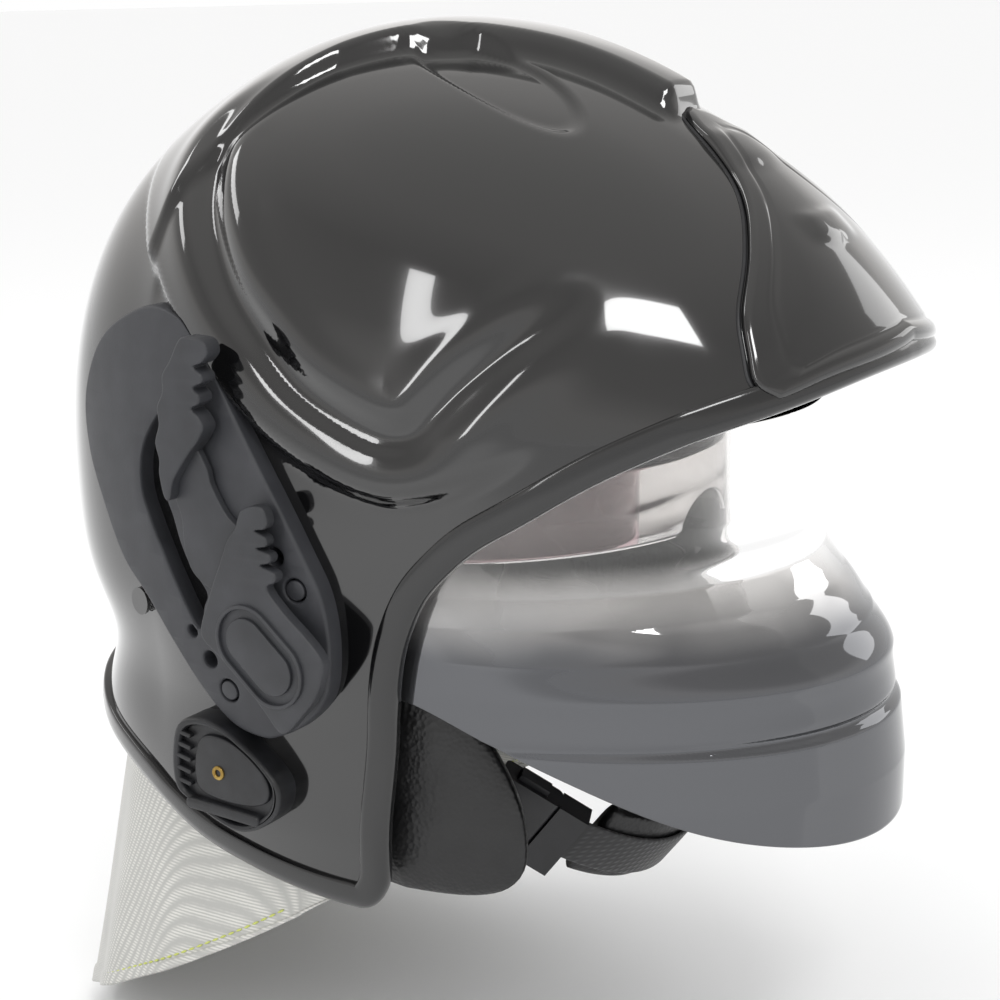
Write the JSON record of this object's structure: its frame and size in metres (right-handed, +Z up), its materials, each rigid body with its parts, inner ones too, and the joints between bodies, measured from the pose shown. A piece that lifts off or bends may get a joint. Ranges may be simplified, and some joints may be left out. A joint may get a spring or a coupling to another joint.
{
  "type": "jet style fire helmet",
  "caption": "Jet style fire helmet: glossy shell with a crest, mirrored face shield and clear ocular visor on side levers, lamp brackets, padded harness and a silver nape curtain.",
  "frame": {"origin": "middle of the wearer's head between the ears", "axes": "-Y is the way the wearer faces, +X the wearer's left, +Z up"},
  "size_m": [0.2702, 0.3445, 0.3907],
  "materials": {
    "shell_gloss": "gloss",
    "trim_gloss": "gloss",
    "panel_matte": "fine texture",
    "shield_mirror": "mirror coated, polished",
    "visor_clear": "polished",
    "pin_steel": "satin",
    "washer_white": "smooth",
    "bracket_rubber": "satin",
    "screw_brass": "satin",
    "rivet_black": "gloss",
    "liner_foam": "matt",
    "webbing_black": "woven",
    "leather_black": "semi gloss",
    "band_plastic": "smooth",
    "buckle_plastic": "smooth",
    "button_black": "smooth",
    "curtain_silver": "metallised weave",
    "snap_steel": "satin"
  },
  "bodies": {
    "helmet": {"outer_shell": "shell_gloss", "edge_trim": "trim_gloss", "front_plate": "shell_gloss", "side_panel_right": "panel_matte", "side_panel_left": "panel_matte", "panel_plugs": "panel_matte", "pivot_washers": "washer_white", "lamp_bracket_right": "bracket_rubber", "lamp_bracket_left": "bracket_rubber", "bracket_screws": "screw_brass", "nape_rivets": "rivet_black", "impact_liner": "liner_foam", "cradle_straps": "webbing_black", "crown_pad": "leather_black", "headband": "band_plastic", "sweatband": "leather_black", "band_hangers": "band_plastic", "ratchet_housing": "band_plastic", "cheek_pad_right": "leather_black", "cheek_pad_left": "leather_black", "neck_pad": "leather_black", "chin_strap_right": "webbing_black", "chin_strap_left": "webbing_black", "buckle_socket": "buckle_plastic", "buckle_plug": "buckle_plastic", "chin_pad": "leather_black", "strap_tail": "webbing_black", "strap_keeper": "buckle_plastic", "strap_anchors": "pin_steel", "nape_curtain": "curtain_silver", "curtain_snaps": "snap_steel"},
    "shield": {"face_shield": "shield_mirror", "lower_lever_right": "panel_matte", "lower_lever_left": "panel_matte", "shield_pin_right": "pin_steel", "shield_pin_left": "pin_steel"},
    "visor": {"ocular_visor": "visor_clear", "upper_lever_right": "panel_matte", "upper_lever_left": "panel_matte", "visor_pin_right": "pin_steel", "visor_pin_left": "pin_steel"},
    "knob": {"ratchet_knob": "band_plastic"},
    "button_upper": {"buckle_button_upper": "button_black"},
    "button_lower": {"buckle_button_lower": "button_black"}
  },
  "joints": [
    {"name": "shield_hinge", "type": "hinge", "parent": "helmet", "child": "shield", "pos_m": [0, -0.012, -0.014], "axis": [-1, 0, 0], "range_deg": [0, 40]},
    {"name": "visor_hinge", "type": "hinge", "parent": "helmet", "child": "visor", "pos_m": [0, 0.002, 0.024], "axis": [-1, 0, 0], "range_deg": [0, 16]},
    {"name": "knob_turn", "type": "hinge", "parent": "helmet", "child": "knob", "pos_m": [0, 0.11, 0.01263], "axis": [0, 1, 0], "continuous": true},
    {"name": "button_upper_press", "type": "slide", "parent": "helmet", "child": "button_upper", "axis": [0, 0.6293, -0.7771], "range_m": [0, 0.0025], "stiffness_N_per_m": 800},
    {"name": "button_lower_press", "type": "slide", "parent": "helmet", "child": "button_lower", "axis": [0, -0.6293, 0.7771], "range_m": [0, 0.0025], "stiffness_N_per_m": 800}
  ]
}
